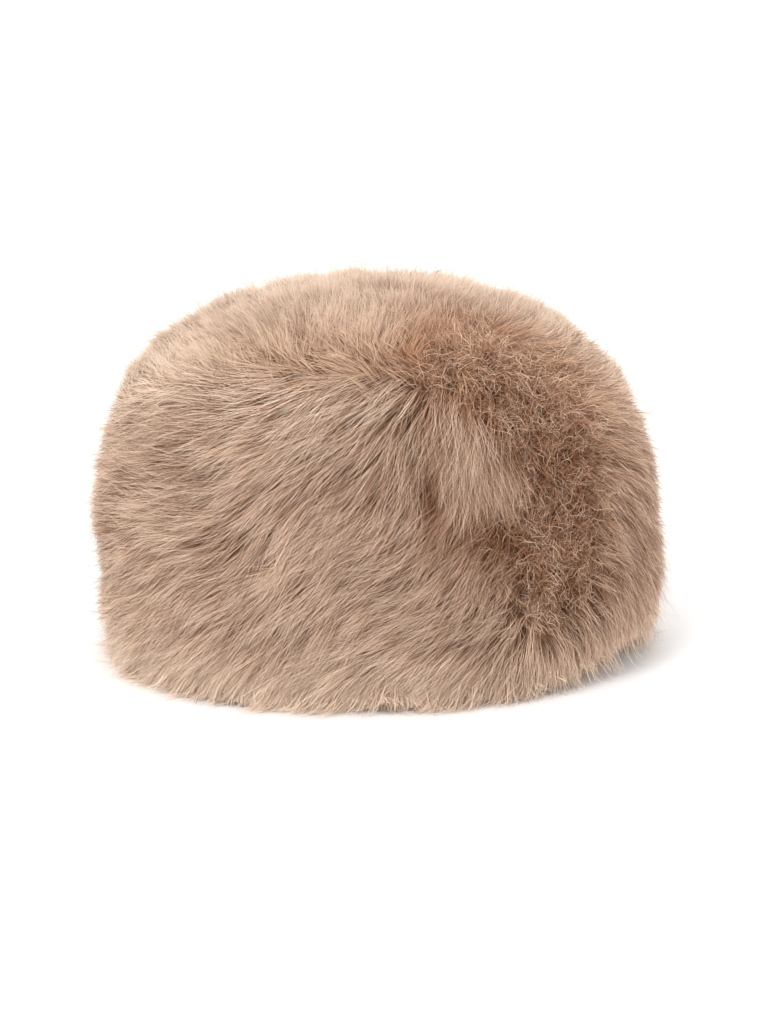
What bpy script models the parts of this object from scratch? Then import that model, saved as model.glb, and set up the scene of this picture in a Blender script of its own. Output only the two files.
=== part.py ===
"""Fur pillbox hat standing on its rim: a side band and a crown, each a wall of deep pile on its backing.

The pile's outer form is a set of locks, combed away from the band's upright join and from the crown seam,
and each lock is fused to the pile under it. Metres, +Z up, the front of the hat towards -Y.
An azimuth is measured round the hat from the front, positive towards +X.
"""

import bisect
import math
import random
from collections import namedtuple

import bmesh
import bpy
from mathutils import Vector

# The head opening at the rim, about 58 cm round, and the levels of the wall inside it
OPENING_WIDTH = 0.176
OPENING_DEPTH = 0.192
INSIDE_LEVELS = (0.0, 0.030, 0.060, 0.088)
OVAL = (OPENING_DEPTH - OPENING_WIDTH) / 2
OVAL_FADES_INSIDE = 0.07
PLAN_POWER = 2.1

# The combed outer surface of the pile
HALF_WIDTH = 0.118
HAT_HEIGHT = 0.1565
LOCK_RELIEF = 0.005

# The seam between band and crown runs out through the pile, from the backing to the parting
SEAM_GAP = 0.0006
CROWN_EDGE = 0.0775
CROWN_EDGE_HEIGHT = 0.1135
CROWN_DOME = 0.0125
UNDERSIDE_REACH = (0.82, 0.6, 0.35, 0.0)
SEAM_SPREAD = 0.55
SKIN_ABOVE = 0.130
SKIN_OUTSIDE = 0.090
FOOT_WIDTH = 0.104
FOOT_RISE = 0.012

TURN_STEPS = 60
SKIN_STEP = 0.0155
SEED = 17

FUR_COLOUR = (0.52, 0.37, 0.27, 1.0)
CROWN_COLOUR = (0.60, 0.44, 0.33, 1.0)
FUR_ROUGHNESS = 0.85

# The outline of the combed surface, from the floor up: shares of the hat's height and half width
Section = namedtuple("Section", "height reach")
OUTLINE = (
    Section(height=0.000, reach=0.950),
    Section(height=0.038, reach=0.975),
    Section(height=0.089, reach=0.993),
    Section(height=0.177, reach=1.000),
    Section(height=0.316, reach=1.000),
    Section(height=0.494, reach=0.985),
    Section(height=0.633, reach=0.948),
    Section(height=0.741, reach=0.885),
    Section(height=0.829, reach=0.785),
    Section(height=0.899, reach=0.640),
    Section(height=0.949, reach=0.470),
    Section(height=0.984, reach=0.270),
    Section(height=1.000, reach=0.000),
)

# Where the pile stands out or sinks in, in degrees round and metres up
Swell = namedtuple("Swell", "azimuth height across up out")
SWELLS = (
    Swell(azimuth=39, height=0.080, across=8, up=0.040, out=-0.0045),
    Swell(azimuth=10, height=0.108, across=4, up=0.022, out=-0.003),
    Swell(azimuth=24, height=0.098, across=7, up=0.024, out=0.002),
    Swell(azimuth=-88, height=0.064, across=16, up=0.014, out=0.003),
    Swell(azimuth=84, height=0.040, across=20, up=0.022, out=0.0035),
    Swell(azimuth=152, height=0.146, across=16, up=0.010, out=-0.0035),
)

# Where the pile's lower edge lifts off the floor
Lift = namedtuple("Lift", "azimuth across rise")
LIFTS = (
    Lift(azimuth=62, across=15, rise=0.011),
    Lift(azimuth=4, across=30, rise=0.0045),
)
LIFT_FADES_UP = 0.03

# The way the band's pile is combed. Heading 0 runs round to the left, 90 runs down and 180 to the right.
Comb = namedtuple("Comb", "azimuth height heading")
COMBS = (
    Comb(azimuth=-85, height=0.100, heading=5),
    Comb(azimuth=-85, height=0.070, heading=25),
    Comb(azimuth=-85, height=0.020, heading=50),
    Comb(azimuth=-50, height=0.120, heading=8),
    Comb(azimuth=-50, height=0.080, heading=34),
    Comb(azimuth=-50, height=0.030, heading=55),
    Comb(azimuth=-15, height=0.125, heading=18),
    Comb(azimuth=-15, height=0.090, heading=48),
    Comb(azimuth=-15, height=0.035, heading=22),
    Comb(azimuth=-10, height=0.008, heading=40),
    Comb(azimuth=7, height=0.095, heading=60),
    Comb(azimuth=8, height=0.040, heading=20),
    Comb(azimuth=24, height=0.105, heading=94),
    Comb(azimuth=22, height=0.055, heading=28),
    Comb(azimuth=24, height=0.010, heading=42),
    Comb(azimuth=40, height=0.012, heading=85),
    Comb(azimuth=52, height=0.110, heading=172),
    Comb(azimuth=58, height=0.080, heading=140),
    Comb(azimuth=58, height=0.030, heading=112),
    Comb(azimuth=85, height=0.100, heading=158),
    Comb(azimuth=85, height=0.030, heading=125),
    Comb(azimuth=130, height=0.070, heading=125),
    Comb(azimuth=180, height=0.070, heading=90),
    Comb(azimuth=-130, height=0.070, heading=50),
)
COMB_ROUND = 24
COMB_UP = 0.026
LEAST_COMB = 1e-9

# Locks of pile: their spacing and size, and the sections of one lock from root to tip
BAND_ROWS = 5
BAND_LOWEST_ROOT = 0.026
BAND_HIGHEST_ROOT = 0.1235
BAND_LOCKS_ROUND = 30
CROWN_ROWS = (0.0, 0.024, 0.046, 0.062, 0.077)
CROWN_LOCK_SPACING = 0.024
CROWN_FAN = 9.0
LOCK_LENGTH = 0.046
LOCK_WIDTH = 0.023
LOCK_STEPS = 7
SEAM_CLEARANCE = 0.0030
FLOOR_CLEARANCE = 0.0008
EASE = 0.008

LockSection = namedtuple("LockSection", "along width crest edge keel")
LOCK_SECTIONS = (
    LockSection(along=0.00, width=0.50, crest=-0.0055, edge=-0.0090, keel=-0.014),
    LockSection(along=0.38, width=1.00, crest=-0.0004, edge=-0.0080, keel=-0.014),
    LockSection(along=0.76, width=0.72, crest=0.0008, edge=-0.0078, keel=-0.013),
)
TIP_RISE = -0.0016
TIP_KEEL = -0.0110


def plan_stretch(azimuth):
    """How far a slightly squared oval lies outside a true one in this direction."""
    sideways = abs(math.sin(azimuth)) ** PLAN_POWER
    forwards = abs(math.cos(azimuth)) ** PLAN_POWER
    return (sideways + forwards) ** (-1 / PLAN_POWER)


def depth_share(half_width):
    """The depth of the plan oval of this half width, as a share of its width."""
    return 1 + OVAL / max(half_width, OVAL_FADES_INSIDE)


def plan_point(azimuth, half_width, height):
    """The point of the hat's plan oval of this half width, at this height."""
    across = half_width * plan_stretch(azimuth)
    return Vector((math.sin(azimuth) * across, -math.cos(azimuth) * across * depth_share(half_width), height))


def plan_place(x, y):
    """The azimuth and half width of the plan oval through this point."""
    half_width = math.hypot(x, y)
    for _ in range(6):
        flatter = y / depth_share(half_width)
        azimuth = math.atan2(x, -flatter)
        half_width = math.hypot(x, flatter) / plan_stretch(azimuth)
    return azimuth, half_width


def bell(distance, width):
    """A smooth rise to 1 at no distance, with this width each way."""
    return math.exp(-0.5 * (distance / width) ** 2)


def degrees_apart(azimuth, row_azimuth):
    """The angle from a table's azimuth, in degrees, to this one, in radians."""
    return (math.degrees(azimuth) - row_azimuth + 180) % 360 - 180


def swell(azimuth, height):
    """How far the pile stands out here beyond the plain outline."""
    return sum(
        row.out * bell(degrees_apart(azimuth, row.azimuth), row.across) * bell(height - row.height, row.up)
        for row in SWELLS
    )


def lift(azimuth, height):
    """How far the pile's lower edge is raised here."""
    rise = sum(row.rise * bell(degrees_apart(azimuth, row.azimuth), row.across) for row in LIFTS)
    return rise * max(0.0, 1 - height / LIFT_FADES_UP)


def smooth_outline(per_span=8):
    """The outline as a smooth curve through its sections: rows of run, half width and height."""
    spots = [Vector((row.reach * HALF_WIDTH, row.height * HAT_HEIGHT)) for row in OUTLINE]
    below = spots[0] * 2 - spots[1]
    beyond = Vector((-spots[-2].x, spots[-2].y))
    spots = [below, *spots, beyond]
    curve = []
    for a, b, c, d in zip(spots, spots[1:], spots[2:], spots[3:]):
        for i in range(per_span):
            t = i / per_span
            bend = (2 * a - 5 * b + 4 * c - d) * t**2 + (3 * b - a - 3 * c + d) * t**3
            curve.append(b + (c - a) * t / 2 + bend / 2)
    curve.append(spots[-2])
    run = 0.0
    rows = [(run, curve[0].x, curve[0].y)]
    for before, spot in zip(curve, curve[1:]):
        run += (spot - before).length
        rows.append((run, max(spot.x, 0.0), spot.y))
    return rows


# Rows of run up from the floor, half width and height
SURFACE = smooth_outline()
RUNS = [row[0] for row in SURFACE]
WHOLE_RUN = RUNS[-1]


def outline_at(run):
    """Half width and height of the plain outline after this run up from the floor."""
    run = min(max(run, 0.0), WHOLE_RUN)
    at = min(max(bisect.bisect_right(RUNS, run), 1), len(RUNS) - 1)
    low = SURFACE[at - 1]
    high = SURFACE[at]
    share = (run - low[0]) / (high[0] - low[0])
    return low[1] + (high[1] - low[1]) * share, low[2] + (high[2] - low[2]) * share


def run_at_height(height):
    """The run from the floor up to this height."""
    return next(row[0] for row in SURFACE if row[2] >= height)


def pile_point(azimuth, run):
    """A point on the combed surface."""
    half_width, height = outline_at(run)
    return plan_point(azimuth, half_width + swell(azimuth, height), height + lift(azimuth, height))


def pile_normal(azimuth, run):
    across, upwards = slopes(azimuth, run)
    return across.cross(upwards).normalized()


def slopes(azimuth, run, step=0.002):
    """How a point on the combed surface moves with its azimuth and with its run."""
    turn = step / HALF_WIDTH
    low = max(run - step, 0.0)
    high = min(run + step, WHOLE_RUN)
    across = (pile_point(azimuth + turn, run) - pile_point(azimuth - turn, run)) / (2 * turn)
    return across, (pile_point(azimuth, high) - pile_point(azimuth, low)) / (high - low)


def band_heading(azimuth, height):
    """The combing direction in the surface, as shares to the right and upwards."""
    right = 0.0
    up = 0.0
    for row in COMBS:
        near = bell(degrees_apart(azimuth, row.azimuth), COMB_ROUND) * bell(height - row.height, COMB_UP)
        right -= max(near, LEAST_COMB) * math.cos(math.radians(row.heading))
        up -= max(near, LEAST_COMB) * math.sin(math.radians(row.heading))
    size = math.hypot(right, up)
    return right / size, up / size


def band_lock_path(azimuth, run, length):
    """Places along a lock of the band, which follows the combing and ends above the floor."""
    places = [(azimuth, run)]
    highest = run_at_height(BAND_HIGHEST_ROOT) + LOCK_WIDTH / 4
    for _ in range(LOCK_STEPS):
        right, up = band_heading(azimuth, outline_at(run)[1])
        across, upwards = slopes(azimuth, run)
        azimuth += right * length / LOCK_STEPS / across.length
        run = min(run + up * length / LOCK_STEPS / upwards.length, highest)
        places.append((azimuth, run))
        if outline_at(run)[1] < FLOOR_CLEARANCE:
            break
    return places


def lock_sections(places, width):
    """Rings of one lock, each a diamond with a crest above the pile and a keel in it, and its upright tip."""
    points = [pile_point(*place) for place in places]
    normals = [pile_normal(*place) for place in places]
    rings = []
    count = len(points) - 1
    for row in LOCK_SECTIONS:
        spot = row.along * count
        i = min(int(spot), count - 1)
        centre = points[i].lerp(points[i + 1], spot - i)
        normal = normals[i].lerp(normals[i + 1], spot - i).normalized()
        side = (points[i + 1] - points[i]).cross(normal).normalized() * (width * row.width / 2)
        rings.append([
            centre + normal * row.edge + side,
            centre + normal * row.crest,
            centre + normal * row.edge - side,
            centre + normal * row.keel,
        ])
    return rings, [points[-1] + normals[-1] * TIP_RISE, points[-1] + normals[-1] * TIP_KEEL]


def add_lock(mesh, places, width, side):
    """Lofts one lock from its blunt root to its pointed tip, on its own side of the seam."""
    rings, blade = lock_sections(places, width)
    rings = [[mesh.verts.new(kept_clear(corner, side)) for corner in ring] for ring in rings]
    tip, heel = [mesh.verts.new(kept_clear(corner, side)) for corner in blade]
    mesh.faces.new(rings[0])
    for low, high in zip(rings, rings[1:]):
        for i in range(4):
            j = (i + 1) % 4
            mesh.faces.new((low[j], low[i], high[i], high[j]))
    right, crest, left, keel = rings[-1]
    mesh.faces.new((crest, right, tip))
    mesh.faces.new((left, crest, tip))
    mesh.faces.new((right, keel, heel, tip))
    mesh.faces.new((keel, left, tip, heel))


def kept_clear(point, side):
    """The point, moved where it has to be above the floor and on this side of the seam: 1 is the band's."""
    height = eased_clear(point.z, FLOOR_CLEARANCE)
    azimuth, half_width = plan_place(point.x, point.y)
    seam = CROWN_EDGE + (height - CROWN_EDGE_HEIGHT) * SEAM_SPREAD
    clear = eased_clear(side * (half_width - seam), SEAM_CLEARANCE)
    return plan_point(azimuth, seam + side * clear, height)


def eased_clear(distance, clearance):
    """The distance itself, or a share of the clearance that falls towards a half where it is too small."""
    return max(distance, clearance * 0.5 * (1 + math.exp(min(distance - clearance, 0.0) / EASE)))


def helper_object(name, mesh):
    """A hidden object that only takes part in a union."""
    data = bpy.data.meshes.new(name)
    bmesh.ops.recalc_face_normals(mesh, faces=mesh.faces)
    mesh.to_mesh(data)
    mesh.free()
    helper = bpy.data.objects.new(name, data)
    helper.hide_render = True
    helper.display_type = "WIRE"
    collection("lock_helpers").objects.link(helper)
    return helper


def collection(name):
    found = bpy.data.collections.get(name)
    if found is None:
        found = bpy.data.collections.new(name)
        bpy.context.scene.collection.children.link(found)
    return found


def band_locks():
    """Rows of locks round the band, each row set between the roots of the one below."""
    chance = random.Random(SEED)
    mesh = bmesh.new()
    low = run_at_height(BAND_LOWEST_ROOT)
    high = run_at_height(BAND_HIGHEST_ROOT)
    for row in range(BAND_ROWS):
        for i in range(BAND_LOCKS_ROUND):
            turn = (i + 0.5 * (row % 2) + chance.uniform(-0.22, 0.22)) / BAND_LOCKS_ROUND
            run = low + (high - low) * row / (BAND_ROWS - 1) + chance.uniform(-0.003, 0.003)
            length = LOCK_LENGTH * chance.uniform(0.85, 1.15)
            width = LOCK_WIDTH * chance.uniform(0.8, 1.15)
            places = band_lock_path(math.tau * turn, min(run, high), length)
            add_lock(mesh, places, width, 1)
    return helper_object("band_locks", mesh)


def crown_place(x, y):
    """The place on the crown that is met straight down at x, y."""
    azimuth, half_width = plan_place(x, y)
    outer, inner = next(pair for pair in zip(SURFACE[::-1][1:], SURFACE[::-1]) if pair[0][1] >= half_width)
    share = (half_width - inner[1]) / (outer[1] - inner[1])
    return azimuth, min(inner[0] + (outer[0] - inner[0]) * share, WHOLE_RUN - 0.0005)


def crown_lock_path(spot, length):
    """Places along a lock of the crown, which runs back and out to the sides as far as the seam."""
    places = []
    for _ in range(LOCK_STEPS):
        places.append(crown_place(*spot))
        spot = spot + Vector((spot.x * CROWN_FAN, 1.0)).normalized() * length / LOCK_STEPS
        if plan_place(*spot)[1] > CROWN_EDGE:
            break
    return places


def crown_locks():
    """Locks over the crown, combed from the front to the back and fanning to the sides."""
    chance = random.Random(SEED)
    mesh = bmesh.new()
    for radius in CROWN_ROWS:
        count = max(1, round(math.tau * radius / CROWN_LOCK_SPACING))
        for i in range(count):
            turn = math.tau * (i + chance.uniform(-0.2, 0.2)) / count
            root = Vector((radius * math.sin(turn), -radius * math.cos(turn)))
            places = crown_lock_path(root, LOCK_LENGTH * chance.uniform(0.7, 0.95))
            width = LOCK_WIDTH * chance.uniform(0.85, 1.1)
            if len(places) > 2:
                add_lock(mesh, places, width, -1)
    return helper_object("crown_locks", mesh)


def turned(name, profile, closed):
    """A profile of half width and height turned about Z."""
    data = bpy.data.meshes.new(name + "_profile")
    edges = [(i, i + 1) for i in range(len(profile) - 1)]
    if closed:
        edges.append((len(profile) - 1, 0))
    data.from_pydata([(half_width, 0, height) for half_width, height in profile], edges, [])
    spun = bpy.data.objects.new(name + "_profile", data)
    bpy.context.scene.collection.objects.link(spun)
    screw = spun.modifiers.new("turn", "SCREW")
    screw.axis = "Z"
    screw.steps = screw.render_steps = TURN_STEPS
    screw.use_merge_vertices = True
    screw.merge_threshold = 0.00005
    graph = bpy.context.evaluated_depsgraph_get()
    made = bpy.data.meshes.new_from_object(spun.evaluated_get(graph))
    bpy.data.objects.remove(spun)
    made.name = name
    return made


def skin_share(half_width, height):
    """1 on the outer face of the pile, 0 on the backing and along the seam, blended at the foot."""
    if height > SKIN_ABOVE:
        return 1.0
    return min(1.0, height / FOOT_RISE) if half_width > SKIN_OUTSIDE else 0.0


def set_to_plan(mesh):
    """Gives a turned wall the hat's oval plan. Its skin points also take the pile's swells and lifts."""
    for vertex in mesh.vertices:
        half_width = math.hypot(vertex.co.x, vertex.co.y)
        azimuth = math.atan2(vertex.co.x, -vertex.co.y)
        height = vertex.co.z
        share = skin_share(half_width, height)
        vertex.co = plan_point(
            azimuth,
            half_width + share * swell(azimuth, height),
            height + share * lift(azimuth, height),
        )


def pile_body_profile(first_run, last_run):
    """The outer face of the pile under its locks, from the top down."""
    count = max(2, round((last_run - first_run) / SKIN_STEP))
    rows = []
    for i in range(count + 1):
        run = last_run + (first_run - last_run) * i / count
        half_width, height = outline_at(run)
        along = (Vector(outline_at(run + 0.001)) - Vector(outline_at(run - 0.001))).normalized()
        rows.append((half_width - along.y * LOCK_RELIEF, height + along.x * LOCK_RELIEF))
    return rows


def seam_line(gap):
    """The seam's two ends in the profile, at the backing and at the parting, moved by a gap."""
    run = run_at_height(CROWN_EDGE_HEIGHT)
    half_width, height = pile_body_profile(run - 0.001, run)[0]
    while half_width > CROWN_EDGE + (height - CROWN_EDGE_HEIGHT) * SEAM_SPREAD:
        run += 0.0003
        half_width, height = pile_body_profile(run - 0.001, run)[0]
    inner = Vector((CROWN_EDGE, CROWN_EDGE_HEIGHT))
    outer = Vector((half_width, height))
    off = (outer - inner).normalized()
    off = Vector((off.y, -off.x)) * gap
    return run, inner + off, outer + off


def side_band():
    """The band: backing and pile in one wall, open where the head goes, with its foot on the floor."""
    run, inner, outer = seam_line(SEAM_GAP / 2)
    foot = (FOOT_WIDTH, 0.0)
    skin = pile_body_profile(run_at_height(FOOT_RISE), run)[1:]
    inside = [
        (OPENING_WIDTH / 2 + (CROWN_EDGE - OPENING_WIDTH / 2) * (height / CROWN_EDGE_HEIGHT) ** 2, height)
        for height in INSIDE_LEVELS
    ]
    mesh = turned("side_band", [tuple(outer), *skin, foot, *inside, tuple(inner)], closed=True)
    set_to_plan(mesh)
    return solid("side_band", mesh, band_locks(), FUR_COLOUR)


def crown():
    """The crown: a shallow dome of backing and pile that closes the top of the band."""
    run, inner, outer = seam_line(-SEAM_GAP / 2)
    skin = pile_body_profile(run, WHOLE_RUN)
    skin[0] = (0.0, skin[0][1])
    underside = [(inner.x * share, inner.y + CROWN_DOME * (1 - share**2)) for share in UNDERSIDE_REACH]
    profile = [*skin[:-1], tuple(outer), tuple(inner), *underside]
    mesh = turned("crown", profile, closed=False)
    set_to_plan(mesh)
    return solid("crown", mesh, crown_locks(), CROWN_COLOUR)


def solid(name, mesh, locks, colour):
    """Fuses the locks to their wall and gives the piece its name and material."""
    piece = bpy.data.objects.new(name, mesh)
    collection("fur_pillbox_hat").objects.link(piece)
    fuse = piece.modifiers.new("fused_locks", "BOOLEAN")
    fuse.operation = "UNION"
    fuse.solver = "EXACT"
    fuse.use_self = True
    fuse.object = locks
    piece.data.materials.append(fur_material(name + "_fur", colour))
    return piece


def fur_material(name, colour):
    material = bpy.data.materials.new(name)
    material.use_nodes = True
    shader = material.node_tree.nodes["Principled BSDF"]
    shader.inputs["Base Color"].default_value = colour
    shader.inputs["Roughness"].default_value = FUR_ROUGHNESS
    shader.inputs["Metallic"].default_value = 0.0
    return material


def main():
    for thing in list(bpy.data.objects):
        bpy.data.objects.remove(thing)
    side_band()
    crown()


main()
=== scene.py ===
"""Looks of the fur pillbox hat: its backing, the short dark underfur, and the long combed pile.

The pile is grown in clumps. A clump's path follows the combing over the hat's outer surface, and its strands
rise from the underfur to the surface and gather towards its tip. Every strand is a tapered ribbon.
Metres, +Z up, the front of the hat towards -Y. An azimuth is measured round the hat from the front,
positive towards +X, in degrees in the tables and in radians elsewhere.
"""

import math
from collections import namedtuple

import bpy
import numpy as np
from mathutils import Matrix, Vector


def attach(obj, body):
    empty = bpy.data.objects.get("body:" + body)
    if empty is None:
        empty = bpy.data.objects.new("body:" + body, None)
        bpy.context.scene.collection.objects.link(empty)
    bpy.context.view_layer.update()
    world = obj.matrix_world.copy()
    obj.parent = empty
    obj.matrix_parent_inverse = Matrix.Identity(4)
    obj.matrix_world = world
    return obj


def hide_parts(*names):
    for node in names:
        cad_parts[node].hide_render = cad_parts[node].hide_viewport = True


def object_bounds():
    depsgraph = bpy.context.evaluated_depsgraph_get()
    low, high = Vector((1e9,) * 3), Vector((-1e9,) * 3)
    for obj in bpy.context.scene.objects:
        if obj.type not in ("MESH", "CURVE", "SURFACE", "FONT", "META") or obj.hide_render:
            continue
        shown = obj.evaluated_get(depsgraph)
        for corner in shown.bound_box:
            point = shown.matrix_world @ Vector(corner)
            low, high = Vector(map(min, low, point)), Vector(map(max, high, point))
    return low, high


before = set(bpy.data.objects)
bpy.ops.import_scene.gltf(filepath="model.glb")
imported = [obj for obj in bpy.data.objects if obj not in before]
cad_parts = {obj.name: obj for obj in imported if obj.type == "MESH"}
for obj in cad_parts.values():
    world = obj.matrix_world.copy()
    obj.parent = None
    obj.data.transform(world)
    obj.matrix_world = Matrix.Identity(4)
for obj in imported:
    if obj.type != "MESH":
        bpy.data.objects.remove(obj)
CAD_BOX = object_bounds()

# The locks of the CAD stand this far above the plain outline
LOCK_CREST = 0.0007
HAT_HEIGHT = CAD_BOX[1][2] - LOCK_CREST
SEED = 5

# The hat's plan and the outline of its combed surface, as in the frame
HALF_WIDTH = 0.118
OVAL = 0.008
OVAL_FADES_INSIDE = 0.07
PLAN_POWER = 2.1


def rows_of(kind, *rows):
    """A table's rows, each with its values under the kind's names."""
    return tuple(kind(*row) for row in rows)


Section = namedtuple("Section", "height reach")
OUTLINE = rows_of(
    Section,
    (-0.120, 0.860),
    (-0.050, 0.915),
    (0.000, 0.950),
    (0.038, 0.975),
    (0.089, 0.993),
    (0.177, 1.000),
    (0.316, 1.000),
    (0.494, 0.985),
    (0.633, 0.948),
    (0.741, 0.885),
    (0.829, 0.785),
    (0.899, 0.640),
    (0.949, 0.470),
    (0.984, 0.270),
    (1.000, 0.000),
)

# Where the pile stands out or sinks in, in degrees round and metres up
Swell = namedtuple("Swell", "azimuth height across up out")
SWELLS = rows_of(
    Swell,
    (39, 0.080, 8, 0.040, -0.0045),
    (10, 0.108, 4, 0.022, -0.003),
    (24, 0.098, 7, 0.024, 0.002),
    (-88, 0.064, 16, 0.014, 0.003),
    (84, 0.040, 20, 0.022, 0.0035),
    (82, 0.131, 26, 0.018, -0.0045),
    (150, 0.146, 24, 0.014, -0.003),
)

# Where the pile's lower edge lifts off the floor, and where its hair is shorter there
Lift = namedtuple("Lift", "azimuth across rise")
LIFTS = (
    Lift(azimuth=62, across=15, rise=0.011),
    Lift(azimuth=4, across=30, rise=0.0045),
)
LIFT_FADES_UP = 0.03
TRIMMED = Lift(azimuth=60, across=15, rise=0.006)
TRIMMED_LENGTH = 1.6


def bell(distance, width):
    """A smooth rise to 1 at no distance, with this width each way."""
    return np.exp(-0.5 * (distance / width) ** 2)


def eased(values, low, high):
    """A smooth rise from 0 at low to 1 at high."""
    share = np.clip((values - low) / (high - low), 0, 1)
    return share * share * (3 - 2 * share)


def unit(vectors):
    return vectors / np.maximum(np.linalg.norm(vectors, axis=-1, keepdims=True), 1e-9)


def in_surface(vectors, normals):
    """The parts of these vectors that lie in the surface, at unit length."""
    return unit(vectors - normals * (vectors * normals).sum(-1, keepdims=True))


def degrees_apart(azimuth, row_azimuth):
    return (np.degrees(azimuth) - row_azimuth + 180) % 360 - 180


def near_row(row, azimuth, height):
    """How near this place is to a row's own: 1 there, and less away from it."""
    return bell(degrees_apart(azimuth, row.azimuth), row.across) * bell(height - row.height, row.up)


def plan_stretch(azimuth):
    """How far a slightly squared oval lies outside a true one in this direction."""
    sideways = np.abs(np.sin(azimuth)) ** PLAN_POWER
    forwards = np.abs(np.cos(azimuth)) ** PLAN_POWER
    return (sideways + forwards) ** (-1 / PLAN_POWER)


def depth_share(half_width):
    """The depth of the plan oval of this half width, as a share of its width."""
    return 1 + OVAL / np.maximum(half_width, OVAL_FADES_INSIDE)


def plan_points(azimuth, half_width, height):
    """Points of the hat's plan ovals of these half widths, at these heights."""
    across = half_width * plan_stretch(azimuth)
    x = np.sin(azimuth) * across
    y = -np.cos(azimuth) * across * depth_share(half_width)
    return np.stack([x, y, np.broadcast_to(height, x.shape)], axis=-1)


def plan_places(x, y):
    """The azimuths and half widths of the plan ovals through these points."""
    half_width = np.hypot(x, y)
    azimuth = np.arctan2(x, -y)
    for _ in range(4):
        flatter = y / depth_share(half_width)
        azimuth = np.arctan2(x, -flatter)
        half_width = np.hypot(x, flatter) / plan_stretch(azimuth)
    return azimuth, half_width


def swell(azimuth, height):
    """How far the pile stands out here beyond the plain outline."""
    return sum(row.out * near_row(row, azimuth, height) for row in SWELLS)


def lift(azimuth, height):
    """How far the pile's lower edge is raised here."""
    rise = sum(row.rise * bell(degrees_apart(azimuth, row.azimuth), row.across) for row in LIFTS)
    return rise * np.clip(1 - height / LIFT_FADES_UP, 0, 1)


def trimmed(azimuth):
    """How much shorter than elsewhere the pile is at its lower edge here."""
    return TRIMMED.rise * bell(degrees_apart(azimuth, TRIMMED.azimuth), TRIMMED.across)


def smooth_outline(per_span=12):
    """The outline as a smooth curve through its sections, as rows of half width and height."""
    spots = np.array([(row.reach * HALF_WIDTH, row.height * HAT_HEIGHT) for row in OUTLINE])
    spots = np.vstack([2 * spots[0] - spots[1], spots, spots[-2] * (-1, 1)])
    share = np.arange(per_span)[:, None] / per_span
    curve = []
    for a, b, c, d in zip(spots, spots[1:], spots[2:], spots[3:]):
        bend = (2 * a - 5 * b + 4 * c - d) * share**2 + (3 * b - a - 3 * c + d) * share**3
        curve.append(b + (c - a) * share / 2 + bend / 2)
    return np.vstack([*curve, spots[-2:-1]])


class Surface:
    """The combed outer surface as a grid over azimuth and run.

    The run is the way up the outline from below the floor.
    """

    ROUND = 480
    UP = 260
    HUB_HEIGHT = 0.070
    POLE = (0.003, 0.012)
    SETTLING = 5

    def __init__(self):
        curve = smooth_outline()
        steps = np.linalg.norm(np.diff(curve, axis=0), axis=1)
        runs = np.concatenate([[0], np.cumsum(steps)])
        self.whole = runs[-1]
        self.runs = np.linspace(0, self.whole, self.UP)
        self.half_width = np.interp(self.runs, runs, np.maximum(curve[:, 0], 0))
        self.height = np.interp(self.runs, runs, curve[:, 1])
        self.angles = np.arctan2(self.height - self.HUB_HEIGHT, self.half_width)
        azimuth = np.linspace(-math.pi, math.pi, self.ROUND + 1)[:, None]
        half_width = self.half_width + swell(azimuth, self.height)
        height = self.height + lift(azimuth, self.height)
        self.points = plan_points(azimuth, half_width, height)
        self.shift = np.arctan2(height - self.HUB_HEIGHT, half_width) - self.angles
        across = np.gradient(self.points, axis=0)
        across[0] = across[-1] = self.points[1] - self.points[-2]
        upwards = np.gradient(self.points, axis=1)
        across[:, -1] = across[:, -2]
        normals = np.cross(across, upwards)
        self.area = np.linalg.norm(normals, axis=-1)
        normals /= np.maximum(self.area, 1e-12)[..., None]
        upright = 1 - eased(self.half_width, *self.POLE)[None, :, None]
        self.normals = unit(normals * (1 - upright) + np.array((0, 0, 1)) * upright)

    def places(self, points):
        """Azimuth and run of the surface points seen in the directions of these from the hub."""
        azimuth, half_width = plan_places(points[..., 0], points[..., 1])
        angle = np.arctan2(points[..., 2] - self.HUB_HEIGHT, half_width)
        run = np.interp(angle, self.angles, self.runs)
        for _ in range(self.SETTLING):
            shift = self.sampled(azimuth, run, self.shift[..., None])[0][..., 0]
            run = np.interp(angle - shift, self.angles, self.runs)
        return azimuth, run

    def sampled(self, azimuth, run, *grids):
        """The values of these grids between their points."""
        a = (azimuth + math.pi) / math.tau * self.ROUND
        r = np.clip(run / self.whole, 0, 1) * (self.UP - 1)
        i = np.clip(a.astype(int), 0, self.ROUND - 1)
        j = np.clip(r.astype(int), 0, self.UP - 2)
        s = (a - i)[..., None]
        t = (r - j)[..., None]
        found = []
        for grid in grids:
            low = grid[i, j] * (1 - s) + grid[i + 1, j] * s
            high = grid[i, j + 1] * (1 - s) + grid[i + 1, j + 1] * s
            found.append(low * (1 - t) + high * t)
        return found

    def at(self, azimuth, run):
        """Points and normals of the surface at these places."""
        points, normals = self.sampled(azimuth, run, self.points, self.normals)
        return points, unit(normals)

    def onto(self, points):
        return self.at(*self.places(points))

    def run_at_height(self, height):
        return float(np.interp(height, self.height, self.runs))


class Ripple:
    """Smooth noise of about unit size with this wavelength, the same each run."""

    WAVES = 14
    PITCHES = (0.6, 1.5)

    def __init__(self, wavelength, seed):
        chance = np.random.default_rng(seed)
        turns = unit(chance.normal(size=(self.WAVES, 3))) * math.tau / wavelength
        self.waves = turns * chance.uniform(*self.PITCHES, (self.WAVES, 1))
        self.phases = chance.uniform(0, math.tau, self.WAVES)
        self.size = math.sqrt(2 / self.WAVES)

    def __call__(self, points):
        total = np.zeros(points.shape[:-1])
        for wave, phase in zip(self.waves, self.phases):
            total += np.sin(points @ wave + phase)
        return total * self.size


SURFACE = Surface()
FLOOR_RUN = SURFACE.run_at_height(0.0)

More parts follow.
